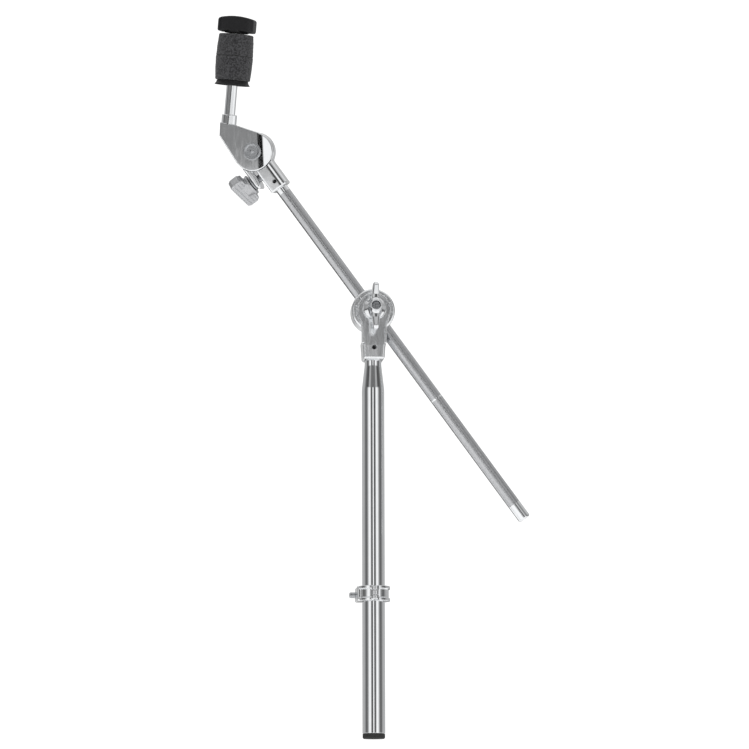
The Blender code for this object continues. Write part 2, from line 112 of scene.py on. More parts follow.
def both(a, b, r=0.0):
    """Where two solids overlap, with their common edge rounded to radius r."""
    if not r:
        return np.maximum(a, b)
    return np.minimum(-r, np.maximum(a, b)) + radial(np.maximum(r + a, 0), np.maximum(r + b, 0))


def either(a, b, r=0.0):
    """Two solids as one, with a fillet of radius r in the corner between them."""
    if not r:
        return np.minimum(a, b)
    return np.maximum(r, np.minimum(a, b)) - radial(np.maximum(r - a, 0), np.maximum(r - b, 0))


def without(a, b, r=0.0):
    return both(a, -b, r)


def block(x, y, z, low, high, r):
    sides = both(span(x, low[0], high[0]), span(y, low[1], high[1]), r)
    return both(sides, span(z, low[2], high[2]), r)


def bar(across, along, radius, low, high, r):
    return both(across - radius, span(along, low, high), r)


def outline(u, v, corners, r=0.0):
    """Distance to a closed shape with straight sides: the nearest side's distance, its sign from how many
    sides a ray crosses. The shape then grows by r, which rounds its corners."""
    nearest = np.full(np.shape(u), np.inf)
    sign = np.ones(np.shape(u))
    for i, a in enumerate(corners):
        b = corners[i - 1]
        eu, ev = b[0] - a[0], b[1] - a[1]
        pu, pv = u - a[0], v - a[1]
        t = np.clip((pu * eu + pv * ev) / (eu * eu + ev * ev), 0, 1)
        nearest = np.minimum(nearest, (pu - eu * t) ** 2 + (pv - ev * t) ** 2)
        above, below, left = v >= a[1], v < b[1], eu * pv > ev * pu
        sign = np.where((above & below & left) | ~(above | below | left), -sign, sign)
    return sign * np.sqrt(nearest) - r


# ---------------------------------------------------------------- meshes

def put_mesh(name, points, faces, where, normals=None, finish=None):
    """Mesh from local points in mm, its place worked into its vertices in metres."""
    origin, rows = where
    mesh = bpy.data.meshes.new(name)
    mesh.from_pydata(((np.asarray(points) @ rows + origin) * MM).tolist(), [], faces)
    mesh.validate()
    mesh.shade_smooth()
    if normals is not None:
        mesh.normals_split_custom_set_from_vertices((normals @ rows).tolist())
    obj = bpy.data.objects.new(name, mesh)
    bpy.context.scene.collection.objects.link(obj)
    if finish:
        mesh.materials.append(finish)
    return obj


def casting(name, shape, low, high, where, finish, cell=0.4):
    """The surface on which shape(x, y, z) is nought, as a mesh of quads.

    The distance is sampled on a lattice, only in blocks near the surface. Each lattice cube that the
    surface crosses gives one point, the mean of its edge crossings; the four cubes round a crossed lattice
    edge give one face; each point then slides down the distance's slope on to the surface.
    """
    side = 4
    low = np.array(low, float)
    count = np.ceil((np.array(high) - low) / (cell * side)).astype(int) + 1
    middle = [low[i] + (np.arange(count[i]) * side + 1.5) * cell for i in range(3)]
    coarse = shape(*np.meshgrid(*middle, indexing="ij"))
    value = coarse.repeat(side, 0).repeat(side, 1).repeat(side, 2)
    near = np.argwhere(np.abs(coarse) < side * cell * 1.3)
    inner = np.stack(np.meshgrid(*[np.arange(side)] * 3, indexing="ij"), -1).reshape(-1, 3)
    index = (near[:, None, :] * side + inner[None]).reshape(-1, 3)
    value[tuple(index.T)] = shape(*(low + index * cell).T)

    inside = value < 0
    corners = np.array([(i, j, k) for i in (0, 1) for j in (0, 1) for k in (0, 1)])
    size = np.array(value.shape) - 1
    total = sum(inside[i:i + size[0], j:j + size[1], k:k + size[2]].astype(np.int8) for i, j, k in corners)
    cubes = np.argwhere((total > 0) & (total < 8))
    number = np.full(size, -1)
    number[tuple(cubes.T)] = np.arange(len(cubes))
    held = [value[tuple((cubes + corner).T)] for corner in corners]
    point, hits = np.zeros((len(cubes), 3)), np.zeros(len(cubes))
    for i, a in enumerate(corners):
        for j, b in enumerate(corners):
            if j > i and np.abs(a - b).sum() == 1:
                crossed = (held[i] < 0) != (held[j] < 0)
                share = np.where(crossed, held[i] / np.where(crossed, held[i] - held[j], 1), 0)
                point += np.where(crossed[:, None], a + share[:, None] * (b - a), 0)
                hits += crossed
    point = low + (cubes + point / hits[:, None]) * cell

    faces = []
    for axis in range(3):
        second, third = (axis + 1) % 3, (axis + 2) % 3
        step = np.eye(3, dtype=int)
        here = inside.take(range(size[axis]), axis)
        there = inside.take(range(1, size[axis] + 1), axis)
        edge = np.argwhere(here != there)
        edge = edge[(edge[:, second] > 0) & (edge[:, third] > 0)]
        edge = edge[(edge[:, second] < size[second]) & (edge[:, third] < size[third])]
        ring = [edge - step[second] - step[third], edge - step[third], edge, edge - step[second]]
        quad = np.stack([number[tuple(cube.T)] for cube in ring], 1)
        outward = here[tuple(edge.T)]
        faces += np.where(outward[:, None], quad, quad[:, ::-1]).tolist()

    eps = cell * 0.02
    for _ in range(5):
        now = shape(*point.T)
        slope = np.stack([(shape(*(point + eps * axis).T) - shape(*(point - eps * axis).T)) / (2 * eps)
                          for axis in np.eye(3)], 1)
        steep = (slope * slope).sum(1)
        move = slope * (now / np.maximum(steep, 0.1))[:, None]
        point -= np.clip(move, -cell / 2, cell / 2)
    normals = slope / np.sqrt(np.maximum(steep, 1e-9))[:, None]
    return put_mesh(name, point, faces, where, normals, finish)


def path(corners, closed=False, pieces=5):
    """Corners (radius, height, rounding) as points; each rounded corner becomes an arc that meets both
    sides."""
    points = []
    last = len(corners) - 1
    for i, (r, z, rounding) in enumerate(corners):
        here = np.array([r, z])
        if rounding == 0 or (not closed and i in (0, last)):
            points.append(here)
            continue
        to_a = np.array(corners[i - 1][:2]) - here
        to_b = np.array(corners[(i + 1) % len(corners)][:2]) - here
        room = min(np.hypot(*to_a), np.hypot(*to_b)) * 0.49
        to_a, to_b = to_a / np.hypot(*to_a), to_b / np.hypot(*to_b)
        half = math.acos(float(np.clip(to_a @ to_b, -1, 1))) / 2
        reach = min(rounding / math.tan(half), room)
        radius = reach * math.tan(half)
        middle = here + (to_a + to_b) / np.hypot(*(to_a + to_b)) * math.hypot(reach, radius)
        start, end = here + to_a * reach - middle, here + to_b * reach - middle
        sweep = math.pi - 2 * half
        for t in np.linspace(0, 1, pieces + 1):
            points.append(middle + (start * math.sin((1 - t) * sweep) + end * math.sin(t * sweep))
                          / math.sin(sweep))
    return np.array(points)


def lathe(name, profile, where, finish, turns=96, closed=False, ripple=None, step=None):
    """A profile (radius, height) carried round local Z: point(a, s) = (r(s) cos a, r(s) sin a, z(s)).

    ripple(a, z, r) adds to the radius everywhere off the axis; step puts extra points on long sides.
    A closed profile makes a ring; an open one starts and ends on the axis, where its rows shrink to a
    pole."""
    profile = np.asarray(profile, float)
    if step:
        ends = np.vstack([profile, profile[:1]]) if closed else profile
        length = np.r_[0, np.cumsum(radial(*np.diff(ends, axis=0).T))]
        extra = np.concatenate([np.linspace(a, b, max(2, int((b - a) / step) + 2))[:-1]
                                for a, b in zip(length[:-1], length[1:])])
        extra = extra if closed else np.r_[extra, length[-1]]
        profile = np.stack([np.interp(extra, length, ends[:, 0]), np.interp(extra, length, ends[:, 1])], 1)
    r, z = profile.T
    following = np.roll(profile, -1, 0)
    if (following[:, 0] * z - r * following[:, 1]).sum() < 0:
        profile = profile[::-1]
        r, z = profile.T
    rows = len(profile)
    angle = np.arange(turns) * 2 * math.pi / turns
    full = np.broadcast_to(r[:, None], (rows, turns)).copy()
    if ripple:
        off_axis = (r > 1e-6)[:, None]
        full += np.where(off_axis, ripple(angle[None, :], z[:, None], full), 0)
    points = np.stack([full * np.cos(angle), full * np.sin(angle), np.broadcast_to(z[:, None], full.shape)],
                      -1)
    number = np.arange(rows * turns).reshape(rows, turns)
    pole = (r < 1e-6) & (not closed)
    number[pole] = number[pole][:, :1]
    above = number if closed else number[:-1]
    under = np.roll(number, -1, 0) if closed else number[1:]
    quads = np.stack([above, under, np.roll(under, -1, 1), np.roll(above, -1, 1)], -1)
    flat = quads.reshape(-1, 4)
    top_pole = np.repeat(pole if closed else pole[:-1], turns)
    low_pole = np.repeat(np.roll(pole, -1) if closed else pole[1:], turns)
    faces = flat[~top_pole & ~low_pole].tolist()
    faces += flat[top_pole][:, [0, 1, 2]].tolist()
    faces += flat[low_pole][:, [0, 1, 3]].tolist()
    used = np.unique(number)
    renumber = np.zeros(rows * turns, int)
    renumber[used] = np.arange(len(used))
    faces = [[int(renumber[v]) for v in face] for face in faces]
    normals = None
    if not ripple:
        run = np.diff(np.vstack([profile, profile[:1]]) if closed else profile, axis=0)
        side = np.stack([-run[:, 1], run[:, 0]], 1)
        row = side + np.roll(side, 1, 0) if closed else np.vstack([side, [[0, 0]]]) + np.vstack([[[0, 0]],
                                                                                                 side])
        row /= np.maximum(radial(*row.T), 1e-9)[:, None]
        flat_row = np.broadcast_to(row[:, None, :], (rows, turns, 2))
        normals = np.stack([flat_row[..., 0] * np.cos(angle), flat_row[..., 0] * np.sin(angle),
                            flat_row[..., 1]], -1)
        normals = normals.reshape(-1, 3)[used]
        if not closed:
            normals[renumber[number[pole][:, 0]]] *= (0, 0, 1)
    return put_mesh(name, points.reshape(-1, 3)[used], faces, where, normals, finish)


# ---------------------------------------------------------------- materials

def hex_colour(code):
    """sRGB hex to the linear colour that a shader takes."""
    channels = [int(code[i:i + 2], 16) / 255 for i in (1, 3, 5)]
    return (*[c / 12.92 if c <= 0.04045 else ((c + 0.055) / 1.055) ** 2.4 for c in channels], 1.0)


def node(tree, kind, inputs=None, **settings):
    """One node with its settings; inputs gives each socket a value or another node's output."""
    made = tree.nodes.new(kind)
    for key, value in settings.items():
        setattr(made, key, value)
    for key, value in (inputs or {}).items():
        if isinstance(value, bpy.types.NodeSocket):
            tree.links.new(value, made.inputs[key])
        else:
            made.inputs[key].default_value = value
    return made


def new_finish(name, colour, metallic, roughness):
    """Principled material and the Object coordinates that its patterns use."""
    material = bpy.data.materials.new(name)
    material.use_nodes = True
    tree = material.node_tree
    shader = tree.nodes["Principled BSDF"]
    shader.inputs["Base Color"].default_value = hex_colour(colour)
    shader.inputs["Metallic"].default_value = metallic
    shader.inputs["Roughness"].default_value = roughness
    where = node(tree, "ShaderNodeTexCoord").outputs["Object"]
    return material, tree, shader, where


def noise(tree, where, size_mm, stretch=(1, 1, 1), detail=3.0):
    """Noise whose lumps are about size_mm across, longer along an axis whose stretch is above one."""
    scaled = node(tree, "ShaderNodeMapping", {"Vector": where, "Scale": tuple(1 / s for s in stretch)})
    return node(tree, "ShaderNodeTexNoise", {"Vector": scaled.outputs[0], "Scale": 1 / (size_mm * MM),
                                             "Detail": detail}).outputs["Fac"]


def between(tree, value, low, high, start=0.3, stop=0.7):
    return node(tree, "ShaderNodeMapRange", {"Value": value, "From Min": start, "From Max": stop,
                                             "To Min": low, "To Max": high}).outputs["Result"]


def mixed(tree, value, first, second):
    ends = [c if isinstance(c, bpy.types.NodeSocket) else hex_colour(c) for c in (first, second)]
    return node(tree, "ShaderNodeMix", {0: value, 6: ends[0], 7: ends[1]}, data_type="RGBA").outputs[2]


def bumped(tree, shader, *layers):
    """Bump layers, each (height output, depth in mm), one over the other."""
    normal = None
    for height, depth in layers:
        inputs = {"Height": height, "Distance": depth * MM, "Strength": 1.0}
        if normal:
            inputs["Normal"] = normal
        normal = node(tree, "ShaderNodeBump", inputs).outputs["Normal"]
    tree.links.new(normal, shader.inputs["Normal"])


def chrome_plate(name="chrome_plate_polished", low=0.035, high=0.09, ripple=0.0015):
    """Bright chromium over polished nickel: mirror-like and cool, with faint buffing haze."""
    material, tree, shader, where = new_finish(name, "#E4E6E8", 1.0, low)
    tree.links.new(mixed(tree, noise(tree, where, 9.0), "#DFE1E3", "#EAEBEC"), shader.inputs["Base Color"])
    haze = noise(tree, where, 2.5, (1, 1, 8), 4.0)
    tree.links.new(between(tree, haze, low, high), shader.inputs["Roughness"])
    bumped(tree, shader, (noise(tree, where, 6.0, detail=1.0), ripple))
    return material


def cast_chrome():
    """Chrome on zinc die casting: the buffed face keeps the slight waviness of the cast skin."""
    return chrome_plate("chrome_on_zinc_casting", 0.05, 0.13, 0.006)


def soft_chrome():
    """Chrome over a blasted casting: the panels round about blur into one even mid grey."""
    return chrome_plate("chrome_on_blasted_casting", 0.2, 0.28, 0.008)


def satin_chrome():
    """Chrome over fine rolled knurling: each tooth glints, and the eye blends them to a grey sheen."""
    material, tree, shader, where = new_finish("knurled_satin_chrome", "#B8B9BB", 1.0, 0.28)
    tree.links.new(mixed(tree, noise(tree, where, 3.0), "#B0B1B3", "#C2C3C5"), shader.inputs["Base Color"])
    tree.links.new(between(tree, noise(tree, where, 0.8), 0.22, 0.34), shader.inputs["Roughness"])
    bumped(tree, shader, (noise(tree, where, 0.35, detail=2.0), 0.008))
    return material


def cast_satin():
    """Tumbled and satin-plated zinc casting: soft grey, a fine grain and no mirror."""
    material, tree, shader, where = new_finish("satin_nickel_casting", "#B9BABC", 1.0, 0.4)
    tree.links.new(mixed(tree, noise(tree, where, 2.0), "#ADAEB0", "#C4C5C7"), shader.inputs["Base Color"])
    tree.links.new(between(tree, noise(tree, where, 0.6), 0.3, 0.46), shader.inputs["Roughness"])
    bumped(tree, shader, (noise(tree, where, 0.5), 0.008), (noise(tree, where, 3.0), 0.02))
    return material


def zinc_steel():
    """Turned steel, bright zinc plated: greyer than chrome, with fine turning lines."""
    material, tree, shader, where = new_finish("zinc_plated_steel", "#A9ABAD", 1.0, 0.28)
    tree.links.new(mixed(tree, noise(tree, where, 1.5), "#9B9DA0", "#B4B6B8"), shader.inputs["Base Color"])
    tree.links.new(between(tree, noise(tree, where, 0.5), 0.2, 0.38), shader.inputs["Roughness"])
    bumped(tree, shader, (noise(tree, where, 0.25, (6, 6, 1)), 0.01))
    return material


def black_oxide():
    """Set screw in blackened steel: near black, with an oily, uneven sheen."""
    material, tree, shader, where = new_finish("black_oxide_steel", "#141415", 0.5, 0.5)
    tree.links.new(mixed(tree, noise(tree, where, 1.0), "#101011", "#1C1C1E"), shader.inputs["Base Color"])
    tree.links.new(between(tree, noise(tree, where, 0.5), 0.42, 0.6), shader.inputs["Roughness"])
    bumped(tree, shader, (noise(tree, where, 0.3), 0.01))
    return material


def sintered_bronze():
    """Sintered bronze bush: warm brown metal with an open, dull grain."""
    material, tree, shader, where = new_finish("sintered_bronze", "#A67B4A", 1.0, 0.45)
    tree.links.new(mixed(tree, noise(tree, where, 0.8), "#96703F", "#B48A58"), shader.inputs["Base Color"])
    bumped(tree, shader, (noise(tree, where, 0.3), 0.02))
    return material


def moulded_plastic():
    """Black ABS from a spark-eroded mould: a soft wide highlight broken by a fine even grain."""
    material, tree, shader, where = new_finish("black_abs_moulded", "#101011", 0.0, 0.42)
    shader.inputs["IOR"].default_value = 1.54
    shader.inputs["Specular IOR Level"].default_value = 0.22
    tree.links.new(mixed(tree, noise(tree, where, 4.0), "#131314", "#1C1C1E"), shader.inputs["Base Color"])
    tree.links.new(between(tree, noise(tree, where, 1.2), 0.36, 0.5), shader.inputs["Roughness"])
    bumped(tree, shader, (noise(tree, where, 0.4, detail=2.0), 0.035))
    return material


def black_rubber():
    """Moulded black rubber: dull, slightly bloomed and scuffed."""
    material, tree, shader, where = new_finish("black_rubber_moulded", "#161616", 0.0, 0.7)
    shader.inputs["IOR"].default_value = 1.52
    tree.links.new(mixed(tree, noise(tree, where, 1.5, detail=5.0), "#121212", "#262625"),
                   shader.inputs["Base Color"])
    tree.links.new(between(tree, noise(tree, where, 0.9), 0.58, 0.82), shader.inputs["Roughness"])
    bumped(tree, shader, (noise(tree, where, 0.5, detail=4.0), 0.05))
    return material


def wool_felt():
    """Pressed grey-black wool felt: matt, matted fibres with paler flecks and a soft edge of loose hair."""
    material, tree, shader, where = new_finish("pressed_wool_felt", "#2A2A2C", 0.0, 0.95)
    shader.inputs["IOR"].default_value = 1.5
    shader.inputs["Sheen Weight"].default_value = 0.12
    shader.inputs["Sheen Roughness"].default_value = 0.6
    clumps = between(tree, noise(tree, where, 1.7, detail=5.0), 0.0, 1.0, 0.42, 0.58)
    flecks = between(tree, noise(tree, where, 0.7, (1, 1, 0.5), 5.0), 0.0, 1.0, 0.58, 0.7)
    tree.links.new(mixed(tree, flecks, mixed(tree, clumps, "#151517", "#3C3C3E"), "#5C5C5E"),
                   shader.inputs["Base Color"])
    bumped(tree, shader, (noise(tree, where, 1.6, detail=6.0), 0.5), (noise(tree, where, 0.35), 0.12))
    return material


CHROME = chrome_plate()
CASTING = cast_chrome()
SOFT_CHROME = soft_chrome()
SATIN = satin_chrome()
CAST_SATIN = cast_satin()
STEEL = zinc_steel()
OXIDE = black_oxide()
BRONZE = sintered_bronze()
PLASTIC = moulded_plastic()
RUBBER = black_rubber()
FELT = wool_felt()


def fit_piece(obj, body, slot, *nodes):
    """The piece rides on its body and stands for its CAD nodes; slot is not used."""
    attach(obj, body)
    if nodes:
        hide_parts(*nodes)
    return obj


def helix(pitch, depth, radius, low, high):
    """Screw thread: the radius drops by depth in a rounded V that climbs one pitch a turn."""
    def ripple(angle, z, r):
        phase = (z / pitch - angle / (2 * math.pi)) % 1.0
        groove = depth * (np.abs(phase - 0.5) * 2) ** 1.2
        ends = np.clip((z - low) / pitch, 0, 1) * np.clip((high - z) / pitch, 0, 1)
        return -groove * ends * (r > radius - 0.05)
    return ripple


# ---------------------------------------------------------------- post

POST_R = 11.1
POST_WALL = 1.5
NECK_R = 8.3
NECK_TOP = 386.5
SWAGE = (341.0, 365.0)    # full width below, neck above
SWAGE_BEND = 40.0         # radius of the bends at both ends of the swage's cone
TIP_H = 5.0
PLUG_TOP = 20.0


def make_post():
    """Tube whose swage is a straight cone between two wide bends, and a rubber plug in its foot."""
    inside = POST_R - POST_WALL
    low, high = SWAGE
    profile = path([(NECK_R - POST_WALL, NECK_TOP, 0.3), (NECK_R, NECK_TOP, 0.5), (NECK_R, high, SWAGE_BEND),
                    (POST_R, low, SWAGE_BEND), (POST_R, TIP_H + GAP, 0.35), (inside, TIP_H + GAP, 0.35),
                    (inside, low, SWAGE_BEND), (NECK_R - POST_WALL, high, SWAGE_BEND)], closed=True, pieces=8)
    tube = lathe("post_tube_skin", profile, FOOT, CHROME, turns=128, closed=True)
    fit_piece(tube, "post", "chrome", "post_tube")
    inner = inside - GAP
    plug = path([(0, PLUG_TOP, 0), (inner - 0.2, PLUG_TOP, 1.0), (inner, TIP_H, 0),
                 (POST_R - 0.2, TIP_H, 0.4),
                 (POST_R - 0.2, 0, 1.7), (5.2, 0, 0.3), (4.6, 0.6, 0.3), (0, 0.6, 0)])
    tip = lathe("post_tip_rubber", plug, FOOT, RUBBER, turns=96)
    fit_piece(tip, "post", "rubber", "post_tip")


EAR_R = 16.0
EAR_HALF = 12.2
EAR_FRONT, EAR_BACK = -16.0, -8.5
EAR_RIM = 2.3
RECESS_Y = -14.5
BLOCK_TOP, BLOCK_LOW = -30.6, -49.6     # below the pivot
BLOCK_BACK = 11.9
BLOCK_HALF = 11.7         # at its top; the sides draw in by SIDE_DRAFT a millimetre below that
SIDE_DRAFT = 0.07
FRONT_DRAFT = 0.045
FLUSH = 5.4               # the block's front runs level with the ear's recess for this far
SHOULDER = 7.0            # fillet between the round eye and the straight sides
HEAD_SCREW_Z = -38.2
SCREW_HOLE_R = 2.3


def ear_face(x, z):
    """Keyhole: a round eye on straight sides, with a wide fillet at the shoulders."""
    return either(radial(x, z) - EAR_R, both(np.abs(x) - EAR_HALF, span(z, -45.0, 0.0)), SHOULDER)


def post_head_shape(x, y, z):
    """Drafted socket block under a plate with a raised rim: the ear that carries the clamp's bolt."""
    below = BLOCK_TOP - z
    sides = np.abs(x) - (BLOCK_HALF - SIDE_DRAFT * below)
    front = RECESS_Y + FRONT_DRAFT * np.maximum(below - FLUSH, 0) - y
    socket = both(both(sides, np.maximum(front, y - BLOCK_BACK), 2.4), span(z, BLOCK_LOW, BLOCK_TOP), 2.0)
    face = ear_face(x, z)
    slab = both(both(face + 0.6, span(y, RECESS_Y, EAR_BACK)), -36.0 - z)
    rim = without(both(face, span(y, EAR_FRONT, EAR_BACK), 0.9), face + EAR_RIM, 0.45)
    body = either(either(socket, slab), both(rim, -34.5 - z, 0.9))
    body = without(body, radial(x, z) - HOLE_R, 0.3)
    body = without(body, both(radial(x, z - HEAD_SCREW_Z) - SCREW_HOLE_R, y + 5))
    return without(body, both(radial(x, y) - NECK_R - GAP, z - (NECK_TOP + GAP - PIVOT[0][2])), 0.3)


def make_post_head():
    head = casting("post_head_casting", post_head_shape, (-17.5, -17.5, -51), (17.5, 13.5, 17.5), PIVOT,
                   SOFT_CHROME,
                   0.33)
    fit_piece(head, "post", "chrome", "post_head")
    NODES["head_screw"].data.materials[0] = OXIDE


# ---------------------------------------------------------------- memory lock

LOCK_IN = POST_R + GAP
HINGE_Y = -15.6
SCREW_Y = 15.4
LUG_HALF = 6.9
LUG_Y = (10.7, 20.1)
KNUCKLE_R = 3.4
PIN_R = 1.2
KEY_R = 2.45
BAND = [(LOCK_IN - 0.5, 6.8), (15.7, 6.8), (15.7, 4.9), (14.4, 4.0), (14.4, -4.0), (15.7, -4.9), (15.7, -6.8),
        (LOCK_IN - 0.5, -6.8)]


def lock_half(side):
    """Waisted half ring with a lug behind, knuckles in front; side is -1 or +1 in X."""
    def shape(x, y, z):
        ring = both(outline(radial(x, y), z, BAND, 0.5), 0.15 - side * x, 0.3)
        if side < 0:
            lug = block(x, y, z, (-16.4, LUG_Y[0], -LUG_HALF), (-0.6, LUG_Y[1], LUG_HALF), 1.2)
            cheek = block(x, y, z, (-16.3, -7.5, -LUG_HALF - 0.2), (-11.8, 14.0, LUG_HALF + 0.2), 1.5)
            body = either(either(ring, lug, 1.0), cheek, 0.6)
            spans = ((2.6, 6.2), (-6.2, -2.6))
            rooms = ((-2.45, 2.45),)
            screw = np.where(x > -12.0, 2.9, 4.1)
        else:
            lug = block(x, y, z, (0.6, LUG_Y[0], -LUG_HALF), (9.5, LUG_Y[1], LUG_HALF), 1.2)
            body = either(ring, lug, 1.0)
            spans = ((-2.2, 2.2),)
            rooms = ((2.4, 12.0), (-12.0, -2.4))
            screw = 3.2
        pin = radial(x, y - HINGE_Y)
        for low, high in spans:
            body = either(body, bar(pin, z, KNUCKLE_R, low, high, 0.5), 0.5)
        for low, high in rooms:
            body = without(body, bar(pin, z, KNUCKLE_R + GAP, low, high, 0.01), 0.25)
        body = without(body, radial(x, y) - LOCK_IN, 0.3)
        body = without(body, pin - PIN_R - GAP, 0.2)
        return without(body, radial(y - SCREW_Y, z) - screw, 0.2)
    return shape


def make_memory_lock():
    left = casting("lock_band_left_casting", lock_half(-1), (-17.5, -20.0, -8.2), (1.5, 21.5, 8.2), LOCK,
                   CASTING,
                   0.35)
    fit_piece(left, "memory_lock", "chrome", "lock_band_left")
    right = casting("lock_band_right_casting", lock_half(1), (-4.5, -20.0, -8.2), (17.5, 21.5, 8.2), LOCK,
                    CASTING,
                    0.35)
    fit_piece(right, "lock_gate", "chrome", "lock_band_right")
    pin = lathe("lock_hinge_rivet", path([(0, 6.3, 0), (PIN_R, 6.2, 0.5), (PIN_R, -6.2, 0.5), (0, -6.3, 0)]),
                moved(LOCK, y=HINGE_Y), STEEL, turns=32)
    fit_piece(pin, "memory_lock", "steel", "lock_hinge_pin")
    key = path([(0, 4.8, 0), (KEY_R, 4.8, 0.5), (KEY_R, -12.4, 0.2), (3.7, -13.6, 0.4), (3.7, -14.4, 0.4),
                (2.9, -16.0, 0.4), (2.9, -22.2, 1.1), (0, -22.2, 0)])
    screw = lathe("lock_screw_threaded", key, spun(moved(LOCK, y=SCREW_Y), "X"), STEEL, turns=48, step=0.25,
                  ripple=helix(1.0, 0.28, KEY_R, -11.5, 4.4))
    fit_piece(screw, "lock_screw", "steel", "lock_screw")


# ---------------------------------------------------------------- boom holder and its clamp

HOLDER_R = 21.4
HOLDER_Y = (-8.2, 13.0)
BORE_R = 6.65
EYE_R = 9.3
EYE_Y = (-4.8, 12.5)
THREAD_R = 3.9
THREAD_PITCH = 1.25
THREAD_DEPTH = 0.45
NOTCHES = 12
NOTCH_SPAN = (14.4, 18.6) # from the disc's axis
NOTCH_DEEP = 1.3
WASHER_R = 11.6
WASHER_THICK = 2.4
WASHER_FLAT = 9.0         # the flat below the washer's axis
WING_REACH = 23.5
WING_TIP_R = 2.2


def threaded(across, along, turn):
    """Round thread as a distance: the radius falls and rises once a pitch, and the crest climbs with the
    turn."""
    phase = (along / THREAD_PITCH - turn / (2 * math.pi)) % 1.0
    return across - THREAD_R + THREAD_DEPTH * np.abs(phase - 0.5) * 2


def holder_shape(x, y, z):
    """Disc with a ring of notches in its face, bored along its axis for the eye bolt and across for the
    arm."""
    r = radial(x, z)
    disc = bar(r, y, HOLDER_R, HOLDER_Y[0], HOLDER_Y[1], 2.2)
    sector = 2 * math.pi / NOTCHES
    turn = (np.arctan2(z, x) % sector) - sector / 2
    u, v = r * np.cos(turn), r * np.sin(turn)
    notch = both(both(span(u, *NOTCH_SPAN), np.abs(v) - 1.0, 0.7), y - HOLDER_Y[0] - NOTCH_DEEP)
    body = without(disc, notch, 0.35)
    body = without(body, both(r - EYE_R - GAP, EYE_Y[0] - GAP - y), 0.4)
    body = without(body, r - HOLE_R, 0.2)
    return without(body, radial(x, y - ARM_Y) - BORE_R, 0.6)


def eye_bolt_shape(x, y, z):
    r = radial(x, z)
    eye = bar(r, y, EYE_R, EYE_Y[0], EYE_Y[1], 0.9)
    eye = without(eye, radial(x, y - ARM_Y) - BORE_R, 0.4)
    shank = both(threaded(r, y, np.arctan2(z, x)), span(y, -33.7, -4.0), 0.4)
    return either(eye, shank)


HUB = [(-4.0, 17.9), (4.9, 17.9), (5.1, 12.0), (6.3, 7.0), (8.6, 3.6), (10.1, 1.6), (10.1, 0.7), (-4.0, 0.7)]


def wings(reach, low, high):
    """Half of the wing pair, seen from its broad side, before WING_TIP_R rounds its corners."""
    return [(-1.0, low + 2.4), (reach * 0.45, low + 2.8), (reach - 5.4, low + 4.3), (reach - 2.2, low + 7.0),
            (reach - 2.2, high - 3.0), (reach - 3.4, high - 2.2), (reach * 0.5, high - 4.2),
            (-1.0, high - 5.0)]


def wing_nut_shape(x, y, z):
    """Flared hub at z = 0 with two wings along x that thin towards their tips."""
    hub = outline(radial(x, y), z, HUB, 0.6)
    side = outline(np.abs(x), z, wings(WING_REACH, 3.0, 18.2), WING_TIP_R)
    thick = np.abs(y) - (4.5 - 0.08 * np.abs(x))
    body = either(hub, both(side, thick, 2.5), 3.0)
    return without(body, radial(x, y) - HOLE_R, 0.5)


def make_holder():
    holder = casting("boom_holder_casting", holder_shape, (-23, -9.5, -23), (23, 14.5, 23), BOOM, SOFT_CHROME)
    fit_piece(holder, "holder", "chrome", "boom_holder")
    eye = casting("eye_bolt_threaded", eye_bolt_shape, (-10.5, -35, -10.5), (10.5, 13.5, 10.5), BOOM, STEEL,
                  0.28)
    fit_piece(eye, "holder", "steel", "eye_bolt")
    seat = RECESS_Y - GAP
    foot = seat - WASHER_THICK

    def washer_shape(x, y, z):
        ring = bar(radial(x, z), y, WASHER_R, foot, seat, 0.6)
        return without(both(ring, -WASHER_FLAT - z, 0.5), radial(x, z) - HOLE_R, 0.3)

    washer = casting("clamp_washer_flatted", washer_shape, (-12.5, foot - 1.0, -10.5), (12.5, seat + 1, 12.5),
                     PIVOT, CHROME, 0.35)
    fit_piece(washer, "post", "steel", "clamp_washer")
    toward = PIVOT[0] + (0, foot - GAP, 0), np.array([(0, 0, -1.0), (1.0, 0, 0), (0, -1.0, 0)])
    nut = casting("clamp_wing_nut_casting", wing_nut_shape, (-25, -12, -1.2), (25, 12, 19.6), toward, CHROME,
                  0.4)
    fit_piece(nut, "clamp_wing", "chrome", "clamp_wing_nut")


# ---------------------------------------------------------------- boom arm

ARM_R = 6.35
ARM_LOW, ARM_TOP = -253.7, 168.6
KNURL_STARTS = 24
KNURL_DEPTH = 0.07
SMOOTH_END = 18.0
RING_AT = -107.0          # a plain ring, turned in the knurling
RING_HALF = 0.8
KNURL_TOP = 148.0


def unknurled(z):
    """Where the arm is smooth: at both ends and in the plain ring."""
    return (z < ARM_LOW + SMOOTH_END) | (z > KNURL_TOP) | (np.abs(z - RING_AT) < RING_HALF)


def knurled(angle, z, r):
    """Diamond knurl: two sets of helical grooves cross, and the deeper one is cut at each point."""
    climb = z / ARM_R
    first = np.abs(np.sin((angle + climb) * KNURL_STARTS / 2))
    second = np.abs(np.sin((angle - climb) * KNURL_STARTS / 2))
    return np.where(unknurled(z), 0.0, -KNURL_DEPTH * (1 - np.minimum(first,
                                                                      second)) ** 2) * (r > ARM_R - 0.01)


